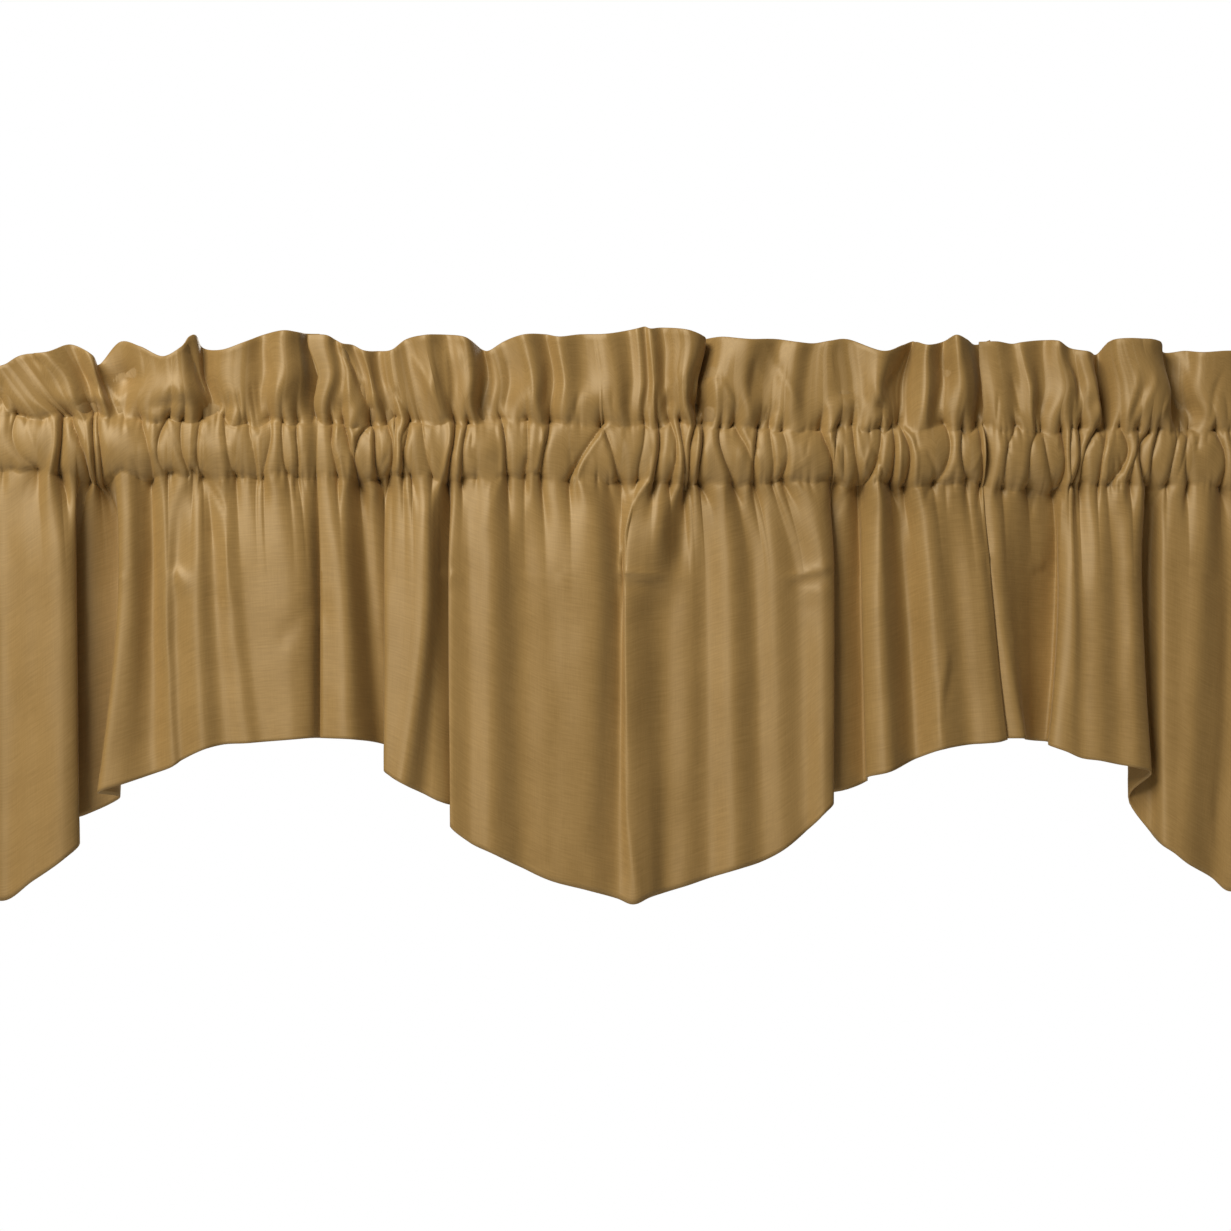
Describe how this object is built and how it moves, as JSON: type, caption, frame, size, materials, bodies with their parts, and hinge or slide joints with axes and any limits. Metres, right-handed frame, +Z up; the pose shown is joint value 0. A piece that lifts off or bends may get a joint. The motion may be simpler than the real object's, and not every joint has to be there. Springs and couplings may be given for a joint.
{
  "type": "tapered valance",
  "caption": "Gathered satin tapered valances side by side on one rod line, each with a ruffled header, an open rod pocket and a skirt cut to a point.",
  "frame": {"origin": "on the rod line, halfway up the rod pocket, near the middle of the centre valance", "axes": "+X along the rod, to the right as seen from the room; +Z up; the room is on the -Y side"},
  "size_m": [1.4972, 0.0443, 0.46],
  "materials": {
    "gold_satin": "soft satin sheen, fine cross ribs"
  },
  "bodies": {
    "root": {"valance_left": "gold_satin", "valance_centre": "gold_satin", "valance_right": "gold_satin"}
  },
  "joints": []
}
